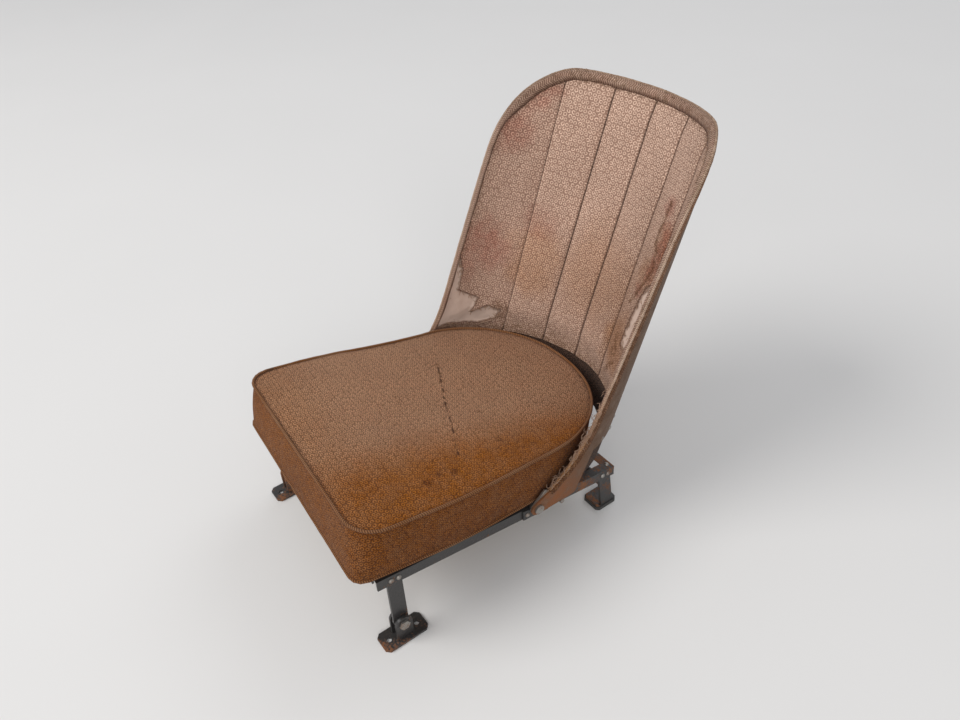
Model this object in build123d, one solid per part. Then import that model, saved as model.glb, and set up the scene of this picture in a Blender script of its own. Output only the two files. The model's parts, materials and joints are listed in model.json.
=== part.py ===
from build123d import *
from math import atan, atan2, cos, degrees, radians, sin, sqrt, tan
import os

os.makedirs("parts", exist_ok=True)

# Tip-forward bucket seat of a small closed car of the 1920s. Millimetres.
# +X is the sitter's left, +Y is rearward and +Z is up. The origin is on the
# floor, in the middle of the four bolts of the two front hinge feet.

# Front hinge feet, bolted to the floor
HINGE_HEIGHT = 34
BOLT_SPAN = 48
BOLT_HOLE = 8.5
FOOT_PLATE = (36, 74, 4)
EAR_THICK = 4
EAR_RADIUS = 14
PIN_DIAMETER = 10
PIN_HEAD = 15
RUNNING_FIT = 0.05

# Base frame of angle iron and flat bar
LEG_X = 185.5
LEG_THICK = 5
LEG_WIDTH = 24
EYE_THICK = 10
EYE_RADIUS = 12
EYE_GAP = 1.5
RAIL_OUTER_X = 191
RAIL_DEPTH = 19
RAIL_FLANGE = 16
IRON_THICK = 3
RAIL_FRONT_Y = -28
RAIL_REAR_Y = 415
LATH_WIDTH = 28
LATH_PLACES = (70, 160, 250, 340)
REAR_LEG_Y = 396
REAR_LEG_RAKE = 10
STRETCHER_DIAMETER = 14
STRETCHER_HEIGHT = 52
PAD_HEIGHT = 6
TOE_SIZE = (34, 40, 4)

# Seat cushion, loose on the frame and lying a little askew
CUSHION_FRONT_Y = -37
CUSHION_BASE_Z = 150
CUSHION_THICK = 95
CUSHION_SLOPE = 0.13
CUSHION_MIDDLE_Y = 195
CUSHION_YAW = 3.6
CUSHION_FRONT_HALF = 204
CUSHION_REAR_HALF = 179
CUSHION_CORNER = 42
CUSHION_REAR = 255
CUSHION_REAR_BOW = 75
CUSHION_REAR_CORNER = 95
CUSHION_LEAN = 9
CUSHION_CROWN = 14
BOARD_THICK = 8
BOARD_INSET = 11
VENT_DIAMETER = 26
VENT_PITCH = (170, 170)
VENT_COUNT = (2, 1)

# Folding tub-shaped back
PIVOT = (248, 114)
PIVOT_DIAMETER = 8
LUG_RADIUS = 11
BOLT_HEAD = 16
HEAD_THICK = 3.5
LUG_FOOT_Y = 24
WASHER_GAP = 0.4
ARM_THICK = 3
ARM_WIDTH = 22
ARM_HEAD = (338, 206)
SHELL_THICK = 3
SHELL_TIP_RADIUS = 12.5
FLUTE_RADIUS = 170
FLUTE_CROWN_THICK = 11.5
WING_PAD_THICK = 6.5
PAD_CLEAR_RADIUS = 127
PAD_BOTTOM = 194
BINDING_WIDTH = 13
BINDING_OUTER = 1.2
BINDING_INNER = 1.5
BINDING_START = 34
HEM_BARE = ((322, 150), (341, 186))
TUB_REACH = 260
CREST_ROUND = 60
STOP_PEG = (296, 97.4)
PEG_DIAMETER = 8

# Side view of the tub, as Y, Z points along its edge
WING_HEEL = (322, 102)
HEM_RISE = (356, 172)
TUB_END = 760
TOP_REAR_Z = 588
CREST = (606, 611)
SHOULDER = (531, 567)
WING_TOP = (478, 498)
WING_KNEE = (352, 223)
WING_HOLLOW = (310, 168)

# The inside of the tub is a D-shaped section square to a leaning axis, which
# grows evenly up that axis. Sizes are those of the section at TUB_MIDDLE.
TUB_LEAN = radians(17.84)
TUB_TAPER = 2.3
TUB_START = 140
TUB_MIDDLE = 350
TUB_LENGTH = 720
TUB_HALF = 204.5
TUB_CORNER = 143
TUB_CORNER_SWEEP = radians(48.3)
TUB_CORNER_Y = 257
TUB_FRONT_Y = -120

# Places of the five seams on the back, as x at the foot and head of the pad
SEAM_RUN = (295, 789)
SEAM_X = ((-144, -155), (-74, -79), (0, 0), (74, 79), (144, 155))

SIDES = (("left", 1), ("right", -1))


def write(name, solid):
    export_step(solid, f"parts/{name}.step")


def side_plate(outline, x, thick):
    """A flat plate cut to a Y, Z outline, from x outward by thick."""
    return extrude(Plane.YZ.offset(x) * outline, amount=thick)


def handed(solid, side):
    """A piece made for the left side, or its mirror image for the right."""
    return solid if side > 0 else mirror(solid, about=Plane.YZ)


def cut_corners(width, length, size):
    """Rectangle with its corners cut off."""
    return chamfer(Rectangle(width, length).vertices(), size)


def rail_top(y):
    return CUSHION_BASE_Z - CUSHION_SLOPE * (y - CUSHION_FRONT_Y)


def bar_along_x(diameter, y, z, x_start, x_end):
    disc = Plane.YZ.offset(x_start) * (Pos(y, z) * Circle(diameter / 2))
    return extrude(disc, amount=x_end - x_start)


# Front hinge

def hinge_foot():
    plate_x, plate_y, plate_z = FOOT_PLATE
    plate = Pos(LEG_X, 0, 0) * extrude(cut_corners(plate_x, plate_y, 6), plate_z)
    for y in (-BOLT_SPAN / 2, BOLT_SPAN / 2):
        plate -= Pos(LEG_X, y, 0) * Cylinder(BOLT_HOLE / 2, 4 * plate_z)
    ear = Pos(0, HINGE_HEIGHT / 2) * Rectangle(2 * EAR_RADIUS, HINGE_HEIGHT)
    ear += Pos(0, HINGE_HEIGHT) * Circle(EAR_RADIUS)
    ear -= Pos(0, HINGE_HEIGHT) * Circle(PIN_DIAMETER / 2)
    reach = EYE_THICK / 2 + EYE_GAP
    for x in (LEG_X - reach - EAR_THICK, LEG_X + reach):
        plate += side_plate(ear, x, EAR_THICK)
    return plate


def hinge_pin():
    reach = EYE_THICK / 2 + EYE_GAP + EAR_THICK
    pin = bar_along_x(PIN_DIAMETER, 0, HINGE_HEIGHT, LEG_X - reach, LEG_X + reach)
    head = Pos(0, HINGE_HEIGHT) * RegularPolygon(PIN_HEAD / 2, 6, major_radius=False)
    return pin + side_plate(head, LEG_X + reach, HEAD_THICK)


# Base frame

def rail_band(y_start, y_end, depth):
    """Side view of a bar whose top edge follows the slope of the rails."""
    return make_face(Polyline(
        (y_start, rail_top(y_start)), (y_end, rail_top(y_end)),
        (y_end, rail_top(y_end) - depth), (y_start, rail_top(y_start) - depth),
        close=True))


def side_rail():
    web = rail_band(RAIL_FRONT_Y, RAIL_REAR_Y, RAIL_DEPTH)
    web -= Pos(*STOP_PEG) * Circle(PEG_DIAMETER / 2)
    rail = side_plate(web, RAIL_OUTER_X - IRON_THICK, IRON_THICK)
    flange = rail_band(RAIL_FRONT_Y, RAIL_REAR_Y, IRON_THICK)
    rail += side_plate(flange, RAIL_OUTER_X - RAIL_FLANGE, RAIL_FLANGE - IRON_THICK)
    return rail


def strap_to_rail(y_foot, z_foot, y_head):
    """Side view of a flat bar from a foot up to the flange of a rail."""
    half = LEG_WIDTH / 2
    head = [(y_head + half, rail_top(y_head + half) - IRON_THICK),
            (y_head - half, rail_top(y_head - half) - IRON_THICK)]
    return make_face(Polyline((y_foot - half, z_foot), (y_foot + half, z_foot), *head, close=True))


def front_leg():
    outline = strap_to_rail(0, HINGE_HEIGHT, 0)
    leg_inner_x = RAIL_OUTER_X - IRON_THICK - LEG_THICK
    leg = side_plate(outline, leg_inner_x, LEG_THICK)
    leg += bar_along_x(2 * EYE_RADIUS, 0, HINGE_HEIGHT, LEG_X - EYE_THICK / 2, LEG_X + EYE_THICK / 2)
    bore = PIN_DIAMETER + 2 * RUNNING_FIT
    return leg - bar_along_x(bore, 0, HINGE_HEIGHT, LEG_X - EYE_THICK, LEG_X + EYE_THICK)


def rear_leg():
    toe_x, toe_y, toe_z = TOE_SIZE
    leg_inner_x = RAIL_OUTER_X - IRON_THICK - LEG_THICK
    foot_y = REAR_LEG_Y + REAR_LEG_RAKE
    leg = side_plate(strap_to_rail(foot_y, PAD_HEIGHT, REAR_LEG_Y), leg_inner_x, LEG_THICK)
    toe = extrude(cut_corners(toe_x, toe_y, 4), toe_z)
    leg += Pos(RAIL_OUTER_X - IRON_THICK - toe_x / 2, foot_y, PAD_HEIGHT) * toe
    hole_y = REAR_LEG_Y + REAR_LEG_RAKE * (1 - STRETCHER_HEIGHT / rail_top(REAR_LEG_Y))
    return leg - bar_along_x(STRETCHER_DIAMETER, hole_y, STRETCHER_HEIGHT, leg_inner_x - 1, RAIL_OUTER_X)


def rear_foot_pad():
    toe_x, toe_y, _ = TOE_SIZE
    outline = cut_corners(toe_x + 4, toe_y + 4, 5)
    middle_x = RAIL_OUTER_X - IRON_THICK - toe_x / 2
    return Pos(middle_x, REAR_LEG_Y + REAR_LEG_RAKE, 0) * extrude(outline, PAD_HEIGHT)


def rear_stretcher():
    y = REAR_LEG_Y + REAR_LEG_RAKE * (1 - STRETCHER_HEIGHT / rail_top(REAR_LEG_Y))
    end = RAIL_OUTER_X - IRON_THICK
    return bar_along_x(STRETCHER_DIAMETER, y, STRETCHER_HEIGHT, -end, end)


def cross_angle(y_web, y_flange):
    """Angle iron from rail to rail, its web upright at y_web."""
    end = RAIL_OUTER_X - RAIL_FLANGE
    y_min, y_max = min(y_web, y_flange), max(y_web, y_flange)
    web_end = y_web + (IRON_THICK if y_flange > y_web else -IRON_THICK)
    web = rail_band(min(y_web, web_end), max(y_web, web_end), RAIL_DEPTH)
    iron = side_plate(rail_band(y_min, y_max, IRON_THICK) + web, -end, 2 * end)
    return iron


def lath(y):
    end = RAIL_OUTER_X - RAIL_FLANGE
    return side_plate(rail_band(y - LATH_WIDTH / 2, y + LATH_WIDTH / 2, IRON_THICK), -end, 2 * end)


def pivot_lug():
    """Plate on the outside of the rail that stands up to carry the pivot."""
    y, z = PIVOT
    foot_y = LUG_FOOT_Y
    lug = make_face(Polyline((y - foot_y, rail_top(y - foot_y)), (y - LUG_RADIUS, z), (y + LUG_RADIUS, z),
                             (y + foot_y, rail_top(y + foot_y)),
                             (y + foot_y, rail_top(y + foot_y) - RAIL_DEPTH),
                             (y - foot_y, rail_top(y - foot_y) - RAIL_DEPTH), close=True))
    lug += Pos(y, z) * Circle(LUG_RADIUS)
    lug -= Pos(y, z) * Circle(PIVOT_DIAMETER / 2)
    return side_plate(lug, RAIL_OUTER_X, IRON_THICK)


def pivot_bolt():
    """Stud riveted flush in the lug, with an outer head."""
    y, z = PIVOT
    outer = wing_x(y, z) + SHELL_THICK + WASHER_GAP
    bolt = bar_along_x(PIVOT_DIAMETER, y, z, RAIL_OUTER_X, outer)
    bolt += bar_along_x(BOLT_HEAD, y, z, outer, outer + HEAD_THICK)
    return bolt


def stop_peg():
    y, z = STOP_PEG
    return bar_along_x(PEG_DIAMETER, y, z, RAIL_OUTER_X - IRON_THICK, wing_x(y, z) + SHELL_THICK)


# Cushion

def cushion_outline():
    """Plan of the cushion about its own middle, front edge at negative y."""
    front = CUSHION_FRONT_Y - CUSHION_MIDDLE_Y
    head = (CUSHION_FRONT_HALF, front)
    tail = (CUSHION_REAR_HALF, CUSHION_REAR - CUSHION_REAR_BOW)
    outline = make_face(Wire([
        Line((-head[0], front), head),
        Line(head, tail),
        ThreePointArc(tail, (0, CUSHION_REAR), (-tail[0], tail[1])),
        Line((-tail[0], tail[1]), (-head[0], front)),
    ]))
    corners = outline.vertices().sort_by(Axis.Y)
    outline = fillet(corners[:2], CUSHION_CORNER)
    corners = outline.vertices().sort_by(Axis.Y)
    return fillet(corners[-2:], CUSHION_REAR_CORNER)


def on_the_slope(solid):
    """Lay a piece made flat about the cushion's middle on the sloping rails."""
    tilt = Rot(-degrees(atan(CUSHION_SLOPE)), 0, 0)
    place = Pos(0, CUSHION_MIDDLE_Y, rail_top(CUSHION_MIDDLE_Y))
    return place * tilt * Rot(0, 0, -CUSHION_YAW) * solid


def cushion():
    """Spring cushion whose border leans rearward to the seam of a crowned top."""
    height = CUSHION_THICK - BOARD_THICK
    tall = height + CUSHION_CROWN
    body = extrude(cushion_outline(), amount=tall, dir=(0, CUSHION_LEAN, height))
    body = Pos(0, -CUSHION_LEAN, BOARD_THICK) * body
    front = CUSHION_FRONT_Y - CUSHION_MIDDLE_Y
    for turn, y, half in ((Rot(90, 0, 0), 0, CUSHION_FRONT_HALF),
                          (Rot(0, 90, 0), (front + CUSHION_REAR) / 2, (CUSHION_REAR - front) / 2)):
        radius = (half ** 2 + CUSHION_CROWN ** 2) / (2 * CUSHION_CROWN)
        body &= Pos(0, y, CUSHION_THICK + CUSHION_CROWN - radius) * turn * Cylinder(radius, 4 * half)
    return on_the_slope(body)


def cushion_board():
    board = extrude(offset(cushion_outline(), amount=-BOARD_INSET), BOARD_THICK)
    for place in GridLocations(*VENT_PITCH, *VENT_COUNT):
        board -= place * Cylinder(VENT_DIAMETER / 2, 4 * BOARD_THICK)
    return on_the_slope(board)


# Back

def tub_plane(t):
    """Plane square to the leaning axis, at a distance t along it."""
    rise = (0, sin(TUB_LEAN), cos(TUB_LEAN))
    return Plane(origin=(0, t * rise[1], t * rise[2]), x_dir=(1, 0, 0), z_dir=rise)


def tub_growth(t):
    return (t - TUB_MIDDLE) * tan(radians(TUB_TAPER))


def rear_radius(t):
    """Radius of the tub's rear curve, which is tangent to its corners."""
    return (TUB_HALF - TUB_CORNER) / cos(TUB_CORNER_SWEEP) + TUB_CORNER + tub_growth(t)


def rear_centre():
    reach = (TUB_HALF - TUB_CORNER) / cos(TUB_CORNER_SWEEP)
    return TUB_CORNER_Y - reach * sin(TUB_CORNER_SWEEP)


def tub_face(t, grow):
    """D-shaped face of one section of the tub, grown by an offset."""
    more = tub_growth(t) + grow
    side = TUB_HALF + more
    corner = TUB_CORNER + more
    corner_x = TUB_HALF - TUB_CORNER
    sweep = TUB_CORNER_SWEEP
    knee = (corner_x + corner * cos(sweep), TUB_CORNER_Y + corner * sin(sweep))
    mid = (corner_x + corner * cos(sweep / 2), TUB_CORNER_Y + corner * sin(sweep / 2))
    tail = (0, rear_centre() + rear_radius(t) + grow)
    edges = [
        Line((-side, TUB_FRONT_Y), (side, TUB_FRONT_Y)),
        Line((side, TUB_FRONT_Y), (side, TUB_CORNER_Y)),
        ThreePointArc((side, TUB_CORNER_Y), mid, knee),
        ThreePointArc(knee, tail, (-knee[0], knee[1])),
        ThreePointArc((-knee[0], knee[1]), (-mid[0], mid[1]), (-side, TUB_CORNER_Y)),
        Line((-side, TUB_CORNER_Y), (-side, TUB_FRONT_Y)),
    ]
    return tub_plane(t) * make_face(Wire(edges))


def tub_solid(grow=0.0):
    return extrude(tub_face(TUB_START, grow), amount=TUB_LENGTH, taper=-TUB_TAPER)


def wing_x(y, z):
    """Inside of the wing's flat wall at a place in side view."""
    return TUB_HALF + tub_growth(y * sin(TUB_LEAN) + z * cos(TUB_LEAN))


def tub_profile():
    """Side view of the tub: swept wings, rounded shoulders and level top."""
    y, z = PIVOT
    r = SHELL_TIP_RADIUS
    tip_top = (y - 0.5 * r, z + 0.866 * r)
    tip_front = (y - r, z)
    tip_low = (y + 0.15 * r, z - 0.989 * r)
    edges = [
        ThreePointArc(tip_top, tip_front, tip_low),
        Line(tip_low, WING_HEEL),
        Line(WING_HEEL, HEM_RISE),
        Line(HEM_RISE, (TUB_END, HEM_RISE[1])),
        Line((TUB_END, HEM_RISE[1]), (TUB_END, TOP_REAR_Z)),
        Line((TUB_END, TOP_REAR_Z), CREST),
        ThreePointArc(CREST, SHOULDER, WING_TOP),
        Line(WING_TOP, WING_KNEE),
        ThreePointArc(WING_KNEE, WING_HOLLOW, tip_top),
    ]
    outline = make_face(Wire(edges))
    return fillet(outline.vertices().sort_by_distance((*CREST, 0))[0], CREST_ROUND)


def across(outline):
    """Prism of a side view over the whole width of the seat."""
    return side_plate(outline, -TUB_REACH, 2 * TUB_REACH)


def back_shell():
    shell = tub_solid(SHELL_THICK) - tub_solid()
    shell &= across(tub_profile())
    bore = PIVOT_DIAMETER + 2 * RUNNING_FIT
    return shell - bar_along_x(bore, *PIVOT, -TUB_REACH, TUB_REACH)


def fold_arm():
    """Flat arm against the inside of the wing, from the pivot up its front edge."""
    y, z = PIVOT
    head_y, head_z = ARM_HEAD
    half = ARM_WIDTH / 2
    run = atan2(head_z - z, head_y - y)
    dy, dz = half * sin(run), -half * cos(run)
    strap = make_face(Polyline((y + dy, z + dz), (head_y + dy, head_z + dz),
                               (head_y - dy, head_z - dz), (y - dy, z - dz), close=True))
    strap += Pos(y, z) * Circle(half)
    clear = offset(tub_profile(), amount=-BINDING_WIDTH) + Pos(y, z) * Circle(BINDING_START - 1)
    strap = (strap & clear) - Pos(y, z) * Circle(PIVOT_DIAMETER / 2 + RUNNING_FIT)
    wall = tub_solid() - tub_solid(-ARM_THICK)
    return wall & side_plate(strap, 0, TUB_REACH)


def pad_profile():
    """Side view of the padding: inside the binding and clear of the pivot."""
    outline = offset(tub_profile(), amount=-BINDING_WIDTH)
    outline -= Pos(*PIVOT) * Circle(PAD_CLEAR_RADIUS)
    outline -= Pos(500, PAD_BOTTOM - 150) * Rectangle(900, 300)
    return outline


def seam_x(seam, t):
    low, high = SEAM_RUN
    part = (t - low) / (high - low)
    foot, head = SEAM_X[seam]
    return foot + part * (head - foot)


def between(edge_a, edge_b):
    """Block from one line to another, each given by its x at both ends of the tub."""
    ends = (TUB_START, TUB_START + TUB_LENGTH)
    outline = make_face(Polyline(*zip(edge_a, ends), *reversed(list(zip(edge_b, ends))), close=True))
    front = Plane(origin=(0, 0, 0), x_dir=(1, 0, 0), z_dir=(0, -cos(TUB_LEAN), sin(TUB_LEAN)))
    return front * extrude(outline, amount=-2 * TUB_REACH)


def seam_ends(seam):
    return [seam_x(seam, t) for t in (TUB_START, TUB_START + TUB_LENGTH)]


def flute_axis_point(number, t):
    """Point on the axis of a flute's round face, behind the wall of the tub."""
    x = (seam_x(number, t) + seam_x(number + 1, t)) / 2
    radius = rear_radius(t)
    scale = (radius + FLUTE_RADIUS - FLUTE_CROWN_THICK) / radius
    depth = sqrt(radius ** 2 - x ** 2)
    return tub_plane(t).from_local_coords((x * scale, rear_centre() + depth * scale, 0))


def flute(number, inside, profile):
    """One stuffed roll: thin at its two seams, thick at its crown."""
    start = flute_axis_point(number, TUB_START)
    axis = flute_axis_point(number, TUB_START + TUB_LENGTH) - start
    roll = extrude(Plane(origin=start, z_dir=axis) * Circle(FLUTE_RADIUS), amount=axis.length)
    return roll & between(seam_ends(number), seam_ends(number + 1)) & inside & profile


def wing_pad(inside, inner, profile):
    """Padding of the left wing, from the last seam round to the binding."""
    keep = between(seam_ends(4), (TUB_REACH, TUB_REACH))
    return (inside - inner) & profile & keep


def rim_binding():
    """Folded strip over the front and top edges of the shell."""
    band = offset(tub_profile(), amount=BINDING_OUTER) - offset(tub_profile(), amount=-BINDING_WIDTH + 1)
    band -= Pos(*PIVOT) * Circle(BINDING_START)
    bare_foot, bare_head = HEM_BARE
    band -= make_face(Polyline((0, -TUB_REACH), (0, bare_foot[1]), bare_foot, bare_head,
                               (TUB_END + BINDING_WIDTH, bare_head[1]), (TUB_END + BINDING_WIDTH, -TUB_REACH),
                               close=True))
    strip = (tub_solid(SHELL_THICK + BINDING_OUTER) - tub_solid(-BINDING_INNER)) & across(band)
    return strip - ((tub_solid(SHELL_THICK) - tub_solid()) & across(tub_profile()))


def build():
    for name, side in SIDES:
        write(f"hinge_foot_{name}", handed(hinge_foot(), side))
        write(f"hinge_pin_{name}", handed(hinge_pin(), side))
        write(f"side_rail_{name}", handed(side_rail(), side))
        write(f"front_leg_{name}", handed(front_leg(), side))
        write(f"rear_leg_{name}", handed(rear_leg(), side))
        write(f"rear_foot_pad_{name}", handed(rear_foot_pad(), side))
        write(f"pivot_lug_{name}", handed(pivot_lug(), side))
        write(f"pivot_bolt_{name}", handed(pivot_bolt(), side))
        write(f"stop_peg_{name}", handed(stop_peg(), side))
        write(f"fold_arm_{name}", handed(fold_arm(), side))
    write("rear_stretcher", rear_stretcher())
    write("front_cross_rail", cross_angle(RAIL_FRONT_Y, RAIL_FRONT_Y + RAIL_FLANGE))
    write("rear_cross_rail", cross_angle(RAIL_REAR_Y, RAIL_REAR_Y - RAIL_FLANGE))
    for number, y in enumerate(LATH_PLACES, start=1):
        write(f"lath_{number}", lath(y))
    write("cushion_board", cushion_board())
    write("cushion", cushion())
    write("back_shell", back_shell())
    write("rim_binding", rim_binding())
    inside = tub_solid()
    profile = across(pad_profile())
    for number in range(4):
        write(f"back_flute_{number + 1}", flute(number, inside, profile))
    pad = wing_pad(inside, tub_solid(-WING_PAD_THICK), profile)
    for name, side in SIDES:
        write(f"wing_pad_{name}", handed(pad, side))


build()
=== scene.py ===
import bpy
import json
import random
from math import acos, asin, atan, atan2, copysign, cos, dist, exp, hypot, pi, radians, sin, sqrt, tan, tanh
from mathutils import Matrix, Vector, noise
from mathutils.kdtree import KDTree


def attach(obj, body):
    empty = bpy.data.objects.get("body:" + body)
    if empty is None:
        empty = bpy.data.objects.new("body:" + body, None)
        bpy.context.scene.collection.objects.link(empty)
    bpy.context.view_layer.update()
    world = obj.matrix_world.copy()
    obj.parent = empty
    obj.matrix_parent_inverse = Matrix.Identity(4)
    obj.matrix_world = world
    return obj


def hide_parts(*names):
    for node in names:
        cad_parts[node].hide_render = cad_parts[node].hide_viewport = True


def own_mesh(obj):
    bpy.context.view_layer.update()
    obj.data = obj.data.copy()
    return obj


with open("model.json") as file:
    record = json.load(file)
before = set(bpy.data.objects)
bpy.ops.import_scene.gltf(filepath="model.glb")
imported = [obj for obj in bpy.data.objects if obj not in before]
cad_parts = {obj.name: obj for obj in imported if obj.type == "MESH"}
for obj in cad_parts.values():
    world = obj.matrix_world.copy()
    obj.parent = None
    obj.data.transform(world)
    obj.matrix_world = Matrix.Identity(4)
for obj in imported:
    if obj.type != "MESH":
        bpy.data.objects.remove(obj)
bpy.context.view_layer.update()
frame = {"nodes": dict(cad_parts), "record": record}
NODES = frame["nodes"]
MM = 0.001
SCENE = bpy.context.scene

# The tub, as in the CAD source: a D-shaped section square to a leaning axis
TUB_LEAN = radians(17.84)
TUB_TAPER = radians(2.3)
TUB_MIDDLE = 350
TUB_HALF = 204.5
TUB_CORNER = 143
TUB_CORNER_SWEEP = radians(48.3)
TUB_CORNER_V = 257
SHELL_THICK = 3
REAR_ANGLE = pi / 2 - TUB_CORNER_SWEEP
CORNER_X = TUB_HALF - TUB_CORNER
REAR_RADIUS = CORNER_X / cos(TUB_CORNER_SWEEP) + TUB_CORNER
REAR_V = TUB_CORNER_V - CORNER_X * tan(TUB_CORNER_SWEEP)
ARC_REAR = REAR_RADIUS * REAR_ANGLE
ARC_CORNER = ARC_REAR + TUB_CORNER * TUB_CORNER_SWEEP

# Pivot, and the tub's front and top edge in side view, as Y, Z points
PIVOT = (248, 114)
WING_TIP = (241.8, 124.8)
WING_HOLLOW = (310, 168)
WING_KNEE = (352, 223)
WING_TOP = (478, 498)
SHOULDER = (531, 567)
CREST = (606, 611)
TOP_REAR = (760, 588)

# Seams on the back, as x at the foot and head of the padding
SEAM_RUN = (295, 789)
SEAM_X = ((-144, -155), (-74, -79), (0, 0), (74, 79), (144, 155))

# Torn places of the cover, on the unrolled wall: at the far wing's foot and beside the near binding
TORN_FAR = ((-268, 421), (-257, 393), (-260, 357), (-217, 346), (-227, 316), (-196, 335), (-170, 330),
            (-178, 312), (-207, 297), (-266, 291), (-292, 282), (-330, 300), (-300, 400))
TORN_NEAR = ((158, 520), (146, 512), (136, 482), (128, 430), (126, 400), (140, 396), (160, 440), (172, 500))

# Cushion, as in the CAD source
CUSHION_MIDDLE = (0, 195, 119.84)
CUSHION_SLOPE = 0.13
CUSHION_YAW = 3.6
CUSHION_TOP = 95
CUSHION_BOTTOM = 9
CUSHION_LEAN = 5


def smooth(low, high, value):
    part = min(max((value - low) / (high - low), 0.0), 1.0)
    return part * part * (3 - 2 * part)


def lerp(a, b, part):
    return a + (b - a) * part


def wobble(point, size, seed=0.0):
    """Smooth noise from -1 to 1 over features of a size in the point's units."""
    height = point[2] if len(point) > 2 else 0.0
    return noise.noise(Vector((point[0] / size, point[1] / size, height / size + seed)))


def growth(t):
    return (t - TUB_MIDDLE) * tan(TUB_TAPER)


def wall(s, t, depth=0.0):
    """Point of the tub in metres: s is round the section from its middle, t is
    up the leaning axis and depth is inward from the inside of the shell."""
    more = growth(t) - depth
    run = abs(s)
    if run <= ARC_REAR:
        angle = run / REAR_RADIUS
        x = (REAR_RADIUS + more) * sin(angle)
        v = REAR_V + (REAR_RADIUS + more) * cos(angle)
    elif run <= ARC_CORNER:
        angle = REAR_ANGLE + (run - ARC_REAR) / TUB_CORNER
        x = CORNER_X + (TUB_CORNER + more) * sin(angle)
        v = TUB_CORNER_V + (TUB_CORNER + more) * cos(angle)
    else:
        x = TUB_HALF + more
        v = TUB_CORNER_V - (run - ARC_CORNER)
    y = v * cos(TUB_LEAN) + t * sin(TUB_LEAN)
    z = t * cos(TUB_LEAN) - v * sin(TUB_LEAN)
    return Vector((copysign(x, s), y, z)) * MM


def round_place(v, t):
    """The place round the section, s, of a point of the left half's wall."""
    more = growth(t)
    if v <= TUB_CORNER_V:
        return ARC_CORNER + TUB_CORNER_V - v
    angle = acos(min(max((v - TUB_CORNER_V) / (TUB_CORNER + more), -1.0), 1.0))
    if angle >= REAR_ANGLE:
        return ARC_REAR + (angle - REAR_ANGLE) * TUB_CORNER
    return REAR_RADIUS * acos(min((v - REAR_V) / (REAR_RADIUS + more), 1.0))


def seam_place(seam, t):
    low, high = SEAM_RUN
    foot, head = SEAM_X[seam]
    x = lerp(foot, head, (t - low) / (high - low))
    return REAR_RADIUS * asin(x / (REAR_RADIUS + growth(t)))


def arc_points(a, b, c, count):
    """Points on the circle through three points in side view, from a to c."""
    ax, ay, bx, by, cx, cy = *a, *b, *c
    d = 2 * (ax * (by - cy) + bx * (cy - ay) + cx * (ay - by))
    ux = ((ax**2 + ay**2) * (by - cy) + (bx**2 + by**2) * (cy - ay) + (cx**2 + cy**2) * (ay - by)) / d
    uy = ((ax**2 + ay**2) * (cx - bx) + (bx**2 + by**2) * (ax - cx) + (cx**2 + cy**2) * (bx - ax)) / d
    radius = hypot(ax - ux, ay - uy)
    start, end = atan2(ay - uy, ax - ux), atan2(cy - uy, cx - ux)
    if end - start > pi:
        end -= 2 * pi
    if start - end > pi:
        end += 2 * pi
    turns = [lerp(start, end, i / count) for i in range(count + 1)]
    return [(ux + radius * cos(w), uy + radius * sin(w)) for w in turns]


def line_points(a, b, count):
    return [(lerp(a[0], b[0], i / count), lerp(a[1], b[1], i / count)) for i in range(count + 1)]


def resample(points, step):
    """Points at even steps along an open line of s, t pairs."""
    runs = [0.0]
    for a, b in zip(points, points[1:]):
        runs.append(runs[-1] + dist(a, b))
    count = max(2, round(runs[-1] / step))
    result, k = [], 0
    for i in range(count + 1):
        want = runs[-1] * i / count
        while k < len(runs) - 2 and runs[k + 1] < want:
            k += 1
        part = (want - runs[k]) / max(runs[k + 1] - runs[k], 1e-9)
        result.append(tuple(lerp(a, b, part) for a, b in zip(points[k], points[k + 1])))
    return result


def rim_line():
    """The front and top edge of the tub on its unrolled wall, left tip to right tip."""
    side = arc_points(WING_TIP, WING_HOLLOW, WING_KNEE, 20)
    side += line_points(WING_KNEE, WING_TOP, 30)[1:]
    side += arc_points(WING_TOP, SHOULDER, CREST, 24)[1:]
    side += line_points(CREST, TOP_REAR, 60)[1:]
    half = []
    for y, z in side:
        v = y * cos(TUB_LEAN) - z * sin(TUB_LEAN)
        t = y * sin(TUB_LEAN) + z * cos(TUB_LEAN)
        if v > REAR_V + REAR_RADIUS + growth(t):
            break
        half.append((round_place(v, t), t))
    half.append((0.0, half[-1][1]))
    for _ in range(12):
        inner = [((a[0] + 2 * b[0] + c[0]) / 4, (a[1] + 2 * b[1] + c[1]) / 4)
                 for a, b, c in zip(half, half[1:], half[2:])]
        half = [half[0]] + inner + [half[-1]]
    return resample(half + [(-s, t) for s, t in reversed(half[:-1])], RIM_STEP)


RIM_STEP = 2.5
RIM = rim_line()
RIM_TREE = KDTree(len(RIM))
for index, (s, t) in enumerate(RIM):
    RIM_TREE.insert((s, t, 0), index)
RIM_TREE.balance()


def rim_normal(i):
    """Direction on the unrolled wall from the rim towards the padding."""
    a, b = RIM[max(i - 1, 0)], RIM[min(i + 1, len(RIM) - 1)]
    ds, dt = b[0] - a[0], b[1] - a[1]
    size = hypot(ds, dt)
    return (-dt / size, ds / size)


def rim_point(i, inset, depth):
    s, t = RIM[i]
    ns, nt = rim_normal(i)
    return wall(s + ns * inset, t + nt * inset, depth)


def rim_distance(s, t):
    return RIM_TREE.find((s, t, 0))[2]


def strip_width(t):
    """Width of the binding inside the rim: wide over the top, narrow on the wings."""
    return lerp(4.5, 15, smooth(650, 715, t))


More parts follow.
